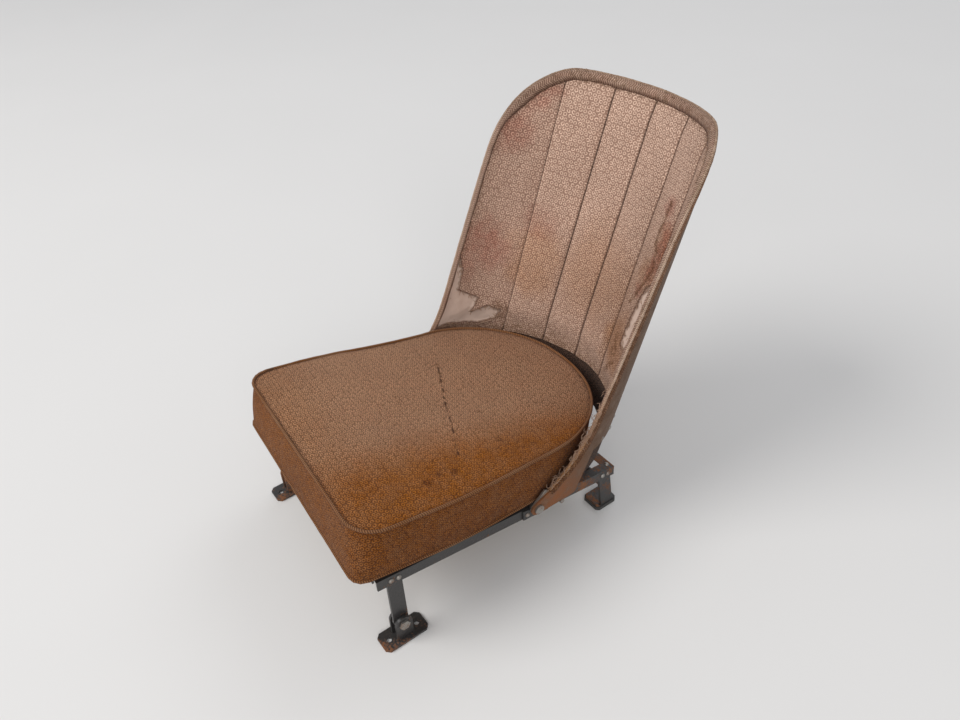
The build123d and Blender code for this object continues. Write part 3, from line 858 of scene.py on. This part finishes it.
def cushion():
    verts, faces, rings, held = cushion_mesh()
    piece = add_mesh("seat_cushion", [Vector(v) * MM for v in verts], faces, "base")
    cushion_simulation(piece, held)
    seams = [[piece.data.vertices[k].co.copy() for k in ring] for ring in rings]
    for v in piece.data.vertices:
        x, y, z = v.co / MM
        if z > CUSHION_TOP - 3:
            seat = exp(-((x - 5) / 120) ** 2 - ((y - 60) / 110) ** 2)
            v.co.z -= (7 * seat + 1.4 * wobble((x, y, 0), 60, 3.0) + 0.7 * wobble((x, y, 0), 22, 8.0)) * MM
        elif z > CUSHION_BOTTOM + 3:
            ripple = wobble((x, y, z * 0.35), 30, 2.0) + 0.5 * wobble((x, y, z * 0.6), 12, 5.0)
            v.co += Vector((x, y, 0)).normalized() * (1.1 * ripple - beside_wings(y)) * MM
    sharp = piece.data.attributes.new("crease_edge", "FLOAT", "EDGE")
    ends = {frozenset(pair) for ring in rings for pair in zip(ring, ring[1:] + ring[:1])}
    for edge in piece.data.edges:
        if frozenset(edge.vertices) in ends:
            sharp.data[edge.index].value = 1.0
    split = piece.modifiers.new("round", "SUBSURF")
    split.levels = split.render_levels = 1
    evaluated = piece.evaluated_get(bpy.context.evaluated_depsgraph_get())
    mesh = bpy.data.meshes.new_from_object(evaluated)
    piece.modifiers.remove(split)
    piece.data = mesh
    layer = mesh.uv_layers.new(name="weave")
    for polygon in mesh.polygons:
        middle = polygon.center / MM
        flat = abs(polygon.normal.z) > 0.6 and (middle.z > CUSHION_TOP - 6 or middle.z < CUSHION_BOTTOM + 6)
        base = atan2(middle.y, middle.x)
        for loop in polygon.loop_indices:
            co = mesh.vertices[mesh.loops[loop].vertex_index].co
            layer.data[loop].uv = (co.x, co.y) if flat else (run_round(co.x, co.y, base), co.z)
    place = CUSHION_MATRIX.copy()
    place.translation *= MM
    mesh.transform(place)
    rows, inverse = [], place.inverted()
    for v in mesh.vertices:
        x, y, z = v.co / MM
        local = inverse @ v.co / MM
        low_side_shade = 1 - smooth(20, 95, local.z)
        turn = int(outline_turn(local.x, local.y)) % OUTLINE_STEPS
        inside = max(TOP_REACH[turn] - hypot(local.x, local.y), 0)
        border = (1 - smooth(CUSHION_TOP - 9, CUSHION_TOP + 1, local.z)) * (1 - smooth(6, 14, inside))
        near = smooth(45, 172, local.x - 0.14 * local.y) * smooth(-330, -120, local.y)
        patch = 0.5 + 0.5 * wobble((x, y, z), 45, 6.0)
        front = 1 - smooth(-235, -120, local.y)
        ochre = 1.0 * near * (0.8 + 0.2 * patch) + 0.95 * border * (0.85 + 0.15 * patch) + 0.22 + 0.25 * front
        flat = mask_value((x, y), CUSHION_DARK, 4.0, flat=True) if border < 0.5 else 0
        gap = hypot(inside, local.z - CUSHION_TOP)
        # Painted shade: the dark mask darkens the border and the lower near side; the ochre on the near side,
        # the border and the front is stain with painted shade
        rows.append((0.25 * patch, min(ochre, 1.0),
                     max(flat, 0.55 * low_side_shade * near, 0.45 * low_side_shade * border, 0.35 * border),
                     exp(-(gap / 5.5) ** 2) * 0.6))
    set_masks(mesh, named("worn ochre dark seam", rows))
    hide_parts("cushion")
    for name, seam, radius, lift in (("top_piping", 0, 2.3, 0.5), ("bottom_piping", 1, 2.1, 2.0)):
        points = []
        for p in seams[seam]:
            q = p + Vector((p.x, p.y, 0)).normalized() * 0.5 * MM + Vector((0, 0, lift * MM))
            q.z += 0.5 * MM * wobble(p / MM, 18, 2.0)
            points.append(place @ q)
        v, f, uv = tube(points, radius * MM, 10, closed=True)
        rows = [(0.3, 0.55 + 0.3 * wobble(q / MM, 60), 0.1, 0.0) for q in v]
        cord = add_mesh(name, v, f, "base", uv, named("worn ochre dark seam", rows))
        PIECES.append((cord, "cord_cloth"))
    return piece


# Rivets and upholstery nails

DOME = ((1.0, -0.4), (1.0, 0.12), (0.86, 0.55), (0.55, 0.88), (0.2, 1.0))
DOME_SIDES = 12


def heads(name, places, radius, height, body):
    """One piece of many low round heads, each given by its place and axis in mm."""
    verts, faces = [], []
    head = grid_faces(len(DOME), DOME_SIDES, closed_columns=True)
    head.append(tuple((len(DOME) - 1) * DOME_SIDES + k for k in range(DOME_SIDES)))
    for centre, axis in places:
        axis = Vector(axis).normalized()
        side = axis.orthogonal().normalized()
        other = axis.cross(side)
        faces += shifted(head, len(verts))
        for wide, up in DOME:
            for k in range(DOME_SIDES):
                angle = 2 * pi * k / DOME_SIDES
                flat = (side * cos(angle) + other * sin(angle)) * wide * (radius * MM)
                verts.append(Vector(centre) * MM + flat + axis * up * (height * MM))
    return add_mesh(name, verts, faces, body)


# Height of the nails, the steps between them, and a Y that only those on the rear wall pass
NAIL_HEIGHT = 181
NAIL_PITCH = 27
NAILS_BEHIND = 366


def rail_top(y):
    return 150 - CUSHION_SLOPE * (y + 37)


def fasteners():
    rivets = []
    for y in (-20, 70, 160, 250, 340, 407):
        for x in (-181, 181):
            rivets.append(((x, y, rail_top(y) + 0.1), (0, CUSHION_SLOPE, 1)))
    for side in (-1, 1):
        for y, drop in ((-6, 10), (6, 10), (390, 10), (402, 10)):
            rivets.append(((191 * side, y, rail_top(y) - drop), (side, 0, 0)))
        for y in (232, 264):
            rivets.append(((194 * side, y, rail_top(y) - 10), (side, 0, 0)))
    frame_rivets = heads("frame_rivets", rivets, 4.2, 2.6, "base")
    nails = []
    for k in range(-9, 10):
        s = k * NAIL_PITCH
        t = level(s, NAIL_HEIGHT)
        p, q = wall(s, t, -SHELL_THICK) / MM, wall(s, t, -SHELL_THICK - 5) / MM
        if p.y > NAILS_BEHIND:
            nails.append((p, q - p))
    hem_nails = heads("hem_nails", nails, 3.6, 2.2, "back")
    return frame_rivets, hem_nails


# Materials

class Graph:
    """Small helper that builds a node material."""

    def __init__(self, name):
        self.material = bpy.data.materials.new(name)
        self.material.use_nodes = True
        self.tree = self.material.node_tree
        self.shader = self.tree.nodes["Principled BSDF"]

    def node(self, kind, inputs=(), **settings):
        item = self.tree.nodes.new(kind)
        for key, value in settings.items():
            setattr(item, key, value)
        for key, value in dict(inputs).items():
            self.set(item.inputs[key], value)
        return item

    def set(self, socket, value):
        if isinstance(value, bpy.types.NodeSocket):
            self.tree.links.new(value, socket)
        elif value is not None:
            socket.default_value = (*value, 1.0) if socket.type == "RGBA" else value

    def math(self, operation, a, b=None, c=None):
        item = self.node("ShaderNodeMath", operation=operation)
        for socket, value in zip(item.inputs, (a, b, c)):
            self.set(socket, value)
        return item.outputs[0]

    def times(self, a, b):
        return self.math("MULTIPLY", a, b)

    def vector(self, operation, a, b, output=0):
        return self.node("ShaderNodeVectorMath", operation=operation, inputs={0: a, 1: b}).outputs[output]

    def weave(self):
        return self.node("ShaderNodeUVMap", uv_map="weave").outputs[0]

    def step(self, value, low, high, out_low=0.0, out_high=1.0):
        item = self.node("ShaderNodeMapRange", interpolation_type="SMOOTHSTEP",
                         inputs={0: value, 1: low, 2: high, 3: out_low, 4: out_high})
        return item.outputs[0]

    def mix(self, part, a, b, blend="MIX"):
        item = self.node("ShaderNodeMix", data_type="RGBA", blend_type=blend, clamp_result=False)
        self.set(item.inputs[0], part)
        self.set(item.inputs[6], a)
        self.set(item.inputs[7], b)
        return item.outputs[2]

    def noise(self, vector, scale, detail=3.0, roughness=0.55):
        item = self.node("ShaderNodeTexNoise", inputs={"Vector": vector, "Scale": scale, "Detail": detail,
                                                       "Roughness": roughness})
        return item.outputs[0]

    def mask(self, name):
        return self.node("ShaderNodeAttribute", attribute_name=name).outputs["Fac"]

    def place(self):
        return self.node("ShaderNodeTexCoord").outputs["Object"]

    def bump(self, height, distance, strength=1.0, under=None):
        item = self.node("ShaderNodeBump",
                         inputs={"Height": height, "Distance": distance, "Strength": strength})
        if under is not None:
            self.set(item.inputs["Normal"], under)
        return item.outputs[0]

    def finish(self, colour, roughness, normal=None, **constants):
        self.set(self.shader.inputs["Base Color"], colour)
        self.set(self.shader.inputs["Roughness"], roughness)
        if normal is not None:
            self.set(self.shader.inputs["Normal"], normal)
        for key, value in constants.items():
            self.shader.inputs[key.replace("_", " ")].default_value = value
        return self.material


def chart_place(g, drift):
    """Place on the cloth's own map, a little out of true, as separate numbers."""
    chart = g.weave()
    shift = g.node("ShaderNodeTexNoise", inputs={"Vector": chart, "Scale": 45.0, "Detail": 3.0}).outputs[1]
    moved = g.node("ShaderNodeVectorMath", operation="MULTIPLY_ADD",
                   inputs={0: shift, 1: (drift, drift, 0), 2: chart}).outputs[0]
    return g.node("ShaderNodeSeparateXYZ", inputs={0: moved}).outputs


def ring_pattern(g, pitch_u=8.0, pitch_v=7.1):
    """Looped rings in staggered rows, a few of them open on one side. Returns
    their height from 0 to 1 and a value for each ring."""
    chart = g.weave()
    place = chart_place(g, 0.005)
    v = g.times(place[1], 1000 / pitch_v)
    row = g.math("FLOOR", v)
    odd = g.times(g.math("FLOORED_MODULO", row, 2.0), 0.5)
    u = g.math("MULTIPLY_ADD", place[0], 1000 / pitch_u, odd)
    cell = g.node("ShaderNodeCombineXYZ", inputs={0: g.math("FLOOR", u), 1: row})
    chance = g.node("ShaderNodeTexWhiteNoise", noise_dimensions="2D", inputs={0: cell.outputs[0]})
    tone = chance.outputs[0]
    parts = g.node("ShaderNodeSeparateXYZ", inputs={0: chance.outputs[1]}).outputs
    a = g.math("SUBTRACT", g.math("FRACT", u), g.math("MULTIPLY_ADD", parts[0], 0.2, 0.40))
    b = g.math("SUBTRACT", g.math("FRACT", v), g.math("MULTIPLY_ADD", parts[1], 0.2, 0.40))
    a, b = g.times(a, pitch_u), g.times(b, pitch_v)
    away = g.math("SQRT", g.math("ADD", g.times(a, a), g.times(b, b)))
    tuft = g.noise(chart, 620.0, 3.0)
    off = g.math("ABSOLUTE", g.math("SUBTRACT", away, 0.29 * pitch_u))
    off = g.math("MULTIPLY_ADD", g.math("SUBTRACT", tuft, 0.5), 1.3, off)
    ring = g.step(off, 1.25, 0.35)
    turn = g.math("MULTIPLY_ADD", parts[2], 6.283, g.math("ARCTAN2", b, a))
    gap = g.times(g.step(g.math("COSINE", turn), 0.55, 0.95), g.step(tone, 0.45, 0.6))
    ring = g.times(ring, g.math("SUBTRACT", 1.0, g.times(gap, 0.7)))
    ground = g.times(g.step(tuft, 0.46, 0.64), g.step(away, 1.6, 3.6, 0.05, 0.6))
    return g.math("MAXIMUM", ring, ground), tone


def twill_pattern(g, pitch_u, pitch_v):
    """Fine slanting ribs that turn at every other row, as on woven tape."""
    place = chart_place(g, 0.0035)
    v = g.times(place[1], 1000 / pitch_v)
    fold = g.math("PINGPONG", v, 1.0)
    u = g.math("MULTIPLY_ADD", place[0], 1000 / pitch_u, fold)
    wave = g.math("SINE", g.times(u, 6.283))
    tone = g.noise(g.weave(), 300.0, 2.0)
    return g.math("MULTIPLY_ADD", wave, 0.5, 0.5), tone


# Tints of the masks; dark and ochre also carry painted shade on some pieces
STAINS_AND_SHADE = (
    ("worn", (0.77, 0.57, 0.545)), ("ochre", (0.65, 0.365, 0.06)),
    ("seam", (0.30, 0.21, 0.17)), ("dark", (0.31, 0.225, 0.13)),
)


def cloth(name, light, dark, pattern, depth=0.0008, stroke=None, bare=None):
    """Upholstery cloth with its wear, stains and painted shade from the piece's masks."""
    g = Graph(name)
    height, tone = pattern(g)
    place = g.place()
    broad, small = g.noise(place, 7.0, 4.0), g.noise(place, 60.0, 3.0)
    fibre = g.noise(place, 1500.0, 2.0)
    loops = g.times(height, g.step(tone, 0.0, 1.0, 0.72, 1.0))
    colour = g.mix(loops, dark, light)
    for part, low, high in ((fibre, (0.86, 0.86, 0.86), (1.12, 1.12, 1.12)),
                            (broad, (0.80, 0.78, 0.77), (1.18, 1.17, 1.16)),
                            (small, (0.90, 0.89, 0.88), (1.09, 1.09, 1.08))):
        colour = g.mix(1.0, colour, g.mix(part, low, high), "MULTIPLY")
    rough = {"worn": g.step(small, 0.30, 0.62, 0.45, 1.0), "ochre": g.step(small, 0.25, 0.7, 0.82, 1.0),
             "dark": g.step(g.noise(place, 170.0, 3.0), 0.34, 0.56, 0.35, 1.0), "seam": 1.0}
    for mask, tint in STAINS_AND_SHADE:
        part = g.times(g.mask(mask), rough[mask])
        colour = g.mix(part, colour, g.mix(1.0, colour, tint, "MULTIPLY"))
    if bare:
        sewn = g.step(g.mask("gap"), 1.5, 0.55, 0.0, 0.85)
        colour = g.mix(sewn, colour, (0.085, 0.048, 0.034))
    if stroke:
        colour = g.mix(dashed_stroke(g, place, *stroke), colour, (0.045, 0.016, 0.008))
    fuzz = g.math("MULTIPLY_ADD", fibre, 0.35, height)
    normal = g.bump(fuzz, depth)
    normal = g.bump(small, 0.002, 0.35, normal)
    if bare:
        part = g.step(g.mask("torn"), -0.3, 0.5)
        fringe = g.times(g.step(g.mask("torn"), -3.5, -0.3), g.step(g.mask("torn"), 1.2, 0.2))
        colour = g.mix(g.times(fringe, 0.75), colour, (0.12, 0.065, 0.045))
        lining = g.mix(broad, *bare)
        lining = g.mix(g.step(g.mask("torn"), 3.0, 0.3, 0.0, 0.55), lining, (0.16, 0.09, 0.06))
        colour = g.mix(part, colour, lining)
        plain = g.bump(small, 0.0015, 0.6)
        normal = g.node("ShaderNodeMix", data_type="VECTOR", inputs={0: part, 4: normal, 5: plain}).outputs[1]
    return g.finish(colour, g.step(height, 0.0, 1.0, 0.98, 0.86), normal,
                    Sheen_Weight=0.06, Sheen_Roughness=0.5, Specular_IOR_Level=0.12)


def dashed_stroke(g, place, start, end, width):
    """Mask of a broken dark line between two points in plan, in metres."""
    run = Vector((end[0] - start[0], end[1] - start[1], 0))
    along = run.normalized()
    across = Vector((-along.y, along.x, 0))
    base = Vector((start[0], start[1], 0))
    part, off = (g.math("SUBTRACT", g.vector("DOT_PRODUCT", place, way, 1), base.dot(way))
                 for way in (along, across))
    line = g.node("ShaderNodeCombineXYZ", inputs={0: part})
    sway = g.math("MULTIPLY_ADD", g.noise(line.outputs[0], 14.0, 2.0), 0.012, -0.006)
    near = g.math("ABSOLUTE", g.math("ADD", off, sway))
    dashes = g.step(g.noise(line.outputs[0], 75.0, 1.0), 0.44, 0.55)
    ends = g.times(g.step(part, -0.004, 0.004), g.step(part, run.length + 0.004, run.length - 0.004))
    solid = g.times(g.step(near, width, width * 0.45), dashes)
    return g.times(g.times(solid, ends), 0.85)


def leathercloth():
    g = Graph("leathercloth")
    place = g.place()
    grain = g.node("ShaderNodeTexVoronoi", feature="DISTANCE_TO_EDGE",
                   inputs={"Vector": place, "Scale": 620.0}).outputs[0]
    broad, small = g.noise(place, 6.0, 4.0), g.noise(place, 45.0, 5.0, 0.65)
    colour = g.mix(broad, (0.105, 0.050, 0.022), (0.175, 0.092, 0.045))
    colour = g.mix(g.step(small, 0.52, 0.74, 0.0, 0.8), colour, (0.085, 0.042, 0.020))
    colour = g.mix(g.step(small, 0.42, 0.26, 0.0, 0.35), colour, (0.30, 0.185, 0.105))
    colour = g.mix(g.step(grain, 0.02, 0.0, 0.0, 0.45), colour, (0.10, 0.052, 0.028))
    tip = g.vector("DISTANCE", g.vector("MULTIPLY", place, (0, 1, 1)), (0, PIVOT[0] * MM, PIVOT[1] * MM), 1)
    stain = g.times(g.step(tip, 0.13, 0.03), g.step(small, 0.35, 0.6, 0.4, 1.0))
    colour = g.mix(stain, colour, (0.25, 0.085, 0.024))
    normal = g.bump(g.step(grain, 0.0, 0.12), 0.0003)
    normal = g.bump(small, 0.0012, 0.4, normal)
    return g.finish(colour, g.step(small, 0.3, 0.7, 0.48, 0.66), normal, Specular_IOR_Level=0.4)


def enamel():
    g = Graph("frame_steel")
    place = g.place()
    broad, fine = g.noise(place, 14.0, 6.0, 0.65), g.noise(place, 260.0, 4.0, 0.6)
    patch = g.step(g.math("MULTIPLY_ADD", fine, 0.35, broad), 0.70, 0.80)
    rust = g.mix(fine, (0.10, 0.038, 0.016), (0.26, 0.11, 0.045))
    coat = g.mix(fine, (0.018, 0.017, 0.017), (0.045, 0.042, 0.040))
    colour = g.mix(patch, coat, rust)
    normal = g.bump(g.math("ADD", g.times(patch, 0.6), fine), 0.0005)
    return g.finish(colour, g.step(patch, 0.0, 1.0, 0.38, 0.88), normal, Specular_IOR_Level=0.5)


def bare_steel():
    g = Graph("bare_steel")
    place = g.place()
    broad, fine = g.noise(place, 30.0, 5.0, 0.65), g.noise(place, 420.0, 3.0, 0.6)
    patch = g.step(g.math("MULTIPLY_ADD", fine, 0.3, broad), 0.58, 0.78)
    colour = g.mix(patch, g.mix(fine, (0.28, 0.265, 0.24), (0.42, 0.40, 0.37)), (0.16, 0.075, 0.035))
    g.set(g.shader.inputs["Metallic"], g.step(patch, 0.0, 1.0, 0.9, 0.0))
    normal = g.bump(fine, 0.0003)
    return g.finish(colour, g.step(patch, 0.0, 1.0, 0.42, 0.85), normal)


def rubber():
    g = Graph("rubber_pad")
    place = g.place()
    broad, fine = g.noise(place, 40.0, 4.0), g.noise(place, 600.0, 2.0)
    colour = g.mix(broad, (0.030, 0.029, 0.028), (0.075, 0.072, 0.068))
    return g.finish(colour, 0.82, g.bump(fine, 0.0003))


def plywood():
    g = Graph("plywood")
    place = g.place()
    long = g.node("ShaderNodeMapping", inputs={"Vector": place, "Scale": (90.0, 7.0, 90.0)}).outputs[0]
    grain = g.noise(long, 1.0, 5.0, 0.6)
    ply = g.node("ShaderNodeTexWave", bands_direction="Z",
                 inputs={"Vector": place, "Scale": 120.0}).outputs[1]
    colour = g.mix(grain, (0.27, 0.165, 0.085), (0.50, 0.34, 0.20))
    colour = g.mix(g.times(ply, 0.3), colour, (0.17, 0.10, 0.05))
    return g.finish(colour, 0.72, g.bump(grain, 0.0004))


def pale_floor():
    g = Graph("pale_floor")
    place = g.place()
    colour = g.mix(g.noise(place, 1.5, 2.0), (0.69, 0.682, 0.668), (0.72, 0.711, 0.697))
    return g.finish(colour, 0.9)


def paint(piece, material):
    slots = piece.material_slots
    if slots:
        for slot in slots:
            slot.material = material
    else:
        piece.data.materials.append(material)


# Light, floor and camera

def area_light(name, place, target, size, power, colour):
    data = bpy.data.lights.new(name, "AREA")
    data.shape = "DISK"
    data.size = size
    data.energy = power
    data.color = colour
    lamp = linked(name, data)
    lamp.location = place
    lamp.rotation_euler = (Vector(target) - Vector(place)).to_track_quat("-Z", "Y").to_euler()


def studio():
    area_light("key", (-2.0, -4.6, 5.6), (0, 0.3, 0.3), 4.4, 315, (1.0, 0.985, 0.965))
    area_light("fill", (5.2, -2.8, 4.2), (0, 0.3, 0.3), 5.0, 165, (1.0, 0.975, 0.95))
    area_light("top", (-1.5, 4.5, 5.0), (0, 0.3, 0.3), 4.0, 60, (0.97, 0.985, 1.0))
    world = bpy.data.worlds.new("world")
    world.use_nodes = True
    world.node_tree.nodes["Background"].inputs[0].default_value = (0.93, 0.95, 1.0, 1.0)
    world.node_tree.nodes["Background"].inputs[1].default_value = 0.5
    SCENE.world = world
    SCENE.view_settings.view_transform = "Standard"
    mesh = bpy.data.meshes.new("floor")
    cells, half = 12, 9.0
    verts = [(lerp(-half, half, i / cells), lerp(-half, half, j / cells), -0.0004)
             for j in range(cells + 1) for i in range(cells + 1)]
    mesh.from_pydata(verts, [], grid_faces(cells + 1, cells + 1))
    floor = linked("floor", mesh)
    paint(floor, pale_floor())


# Lens of the fitted camera in mm, and how much longer it is made to fill the frame
FITTED_LENS = 19.3
LENS_GAIN = 1.62


def camera():
    """The photograph's camera, placed by fitting, with a longer lens."""
    data = bpy.data.cameras.new("camera")
    data.sensor_width = 36
    data.lens = FITTED_LENS * LENS_GAIN
    data.shift_y = -0.012
    right = Vector((0.58578, 0.80907, -0.04767))
    down = Vector((0.47603, -0.39107, -0.78769))
    ahead = Vector((-0.65594, 0.43872, -0.61422))
    turn = Matrix((right, -down, -ahead)).transposed().to_4x4()
    item = linked("camera", data)
    item.matrix_world = Matrix.Translation(Vector((0.8672, -0.2873, 1.0930))) @ turn
    SCENE.camera = item


camera()
studio()
PIECES = []
for build, look in ((back_padding, "back_cloth"), (binding, "binding"), (rim_piping, "piping"),
                    (frayed_threads, "thread"), (lining_flap_painted_shade, "flap_shade_cloth"), (cushion, "seat_cloth")):
    PIECES.append((build(), look))
PIECES += [(item, "bare_steel") for item in fasteners()]

LINING = ((0.50, 0.365, 0.295), (0.68, 0.53, 0.44))
# Row of large stitches on the cushion: its ends and half its width
LINE_START, LINE_END = (-0.083, 0.259), (0.127, 0.158)
LINE_HALF = 0.0017
LOOKS = {
    "back_cloth": cloth("moquette_back", (0.80, 0.57, 0.445), (0.315, 0.19, 0.14), ring_pattern, bare=LINING),
    # Near-black lining hem: painted shade behind the cushion
    "flap_shade_cloth": cloth("lining_hem", (0.11, 0.062, 0.042), (0.030, 0.017, 0.012), ring_pattern),
    "seat_cloth": cloth("moquette_seat", (0.565, 0.345, 0.215), (0.165, 0.086, 0.048),
                        lambda g: ring_pattern(g, 6.8, 6.1), stroke=(LINE_START, LINE_END, LINE_HALF)),
    "cord_cloth": cloth("piping_seat", (0.46, 0.285, 0.165), (0.125, 0.064, 0.034),
                        lambda g: twill_pattern(g, 3.4, 9.0), 0.0008),
    "binding": cloth("binding", (0.70, 0.51, 0.40), (0.26, 0.168, 0.122),
                     lambda g: twill_pattern(g, 3.8, 4.6), 0.0014),
    "piping": cloth("piping", (0.74, 0.58, 0.45), (0.34, 0.23, 0.165),
                    lambda g: twill_pattern(g, 2.8, 4.0), 0.0008),
    "thread": cloth("thread", (0.62, 0.47, 0.36), (0.34, 0.235, 0.17),
                    lambda g: twill_pattern(g, 1.2, 3.0), 0.0002),
    "leathercloth": leathercloth(),
    "frame_steel": enamel(),
    "bare_steel": bare_steel(),
    "rubber_pad": rubber(),
    "plywood": plywood(),
}
for piece, look in PIECES:
    paint(piece, LOOKS[look])
LOOKS["moquette"] = LOOKS["back_cloth"]
for part in frame["record"]["subparts"]:
    paint(NODES[part["node"]], LOOKS[part["material_slot"]])
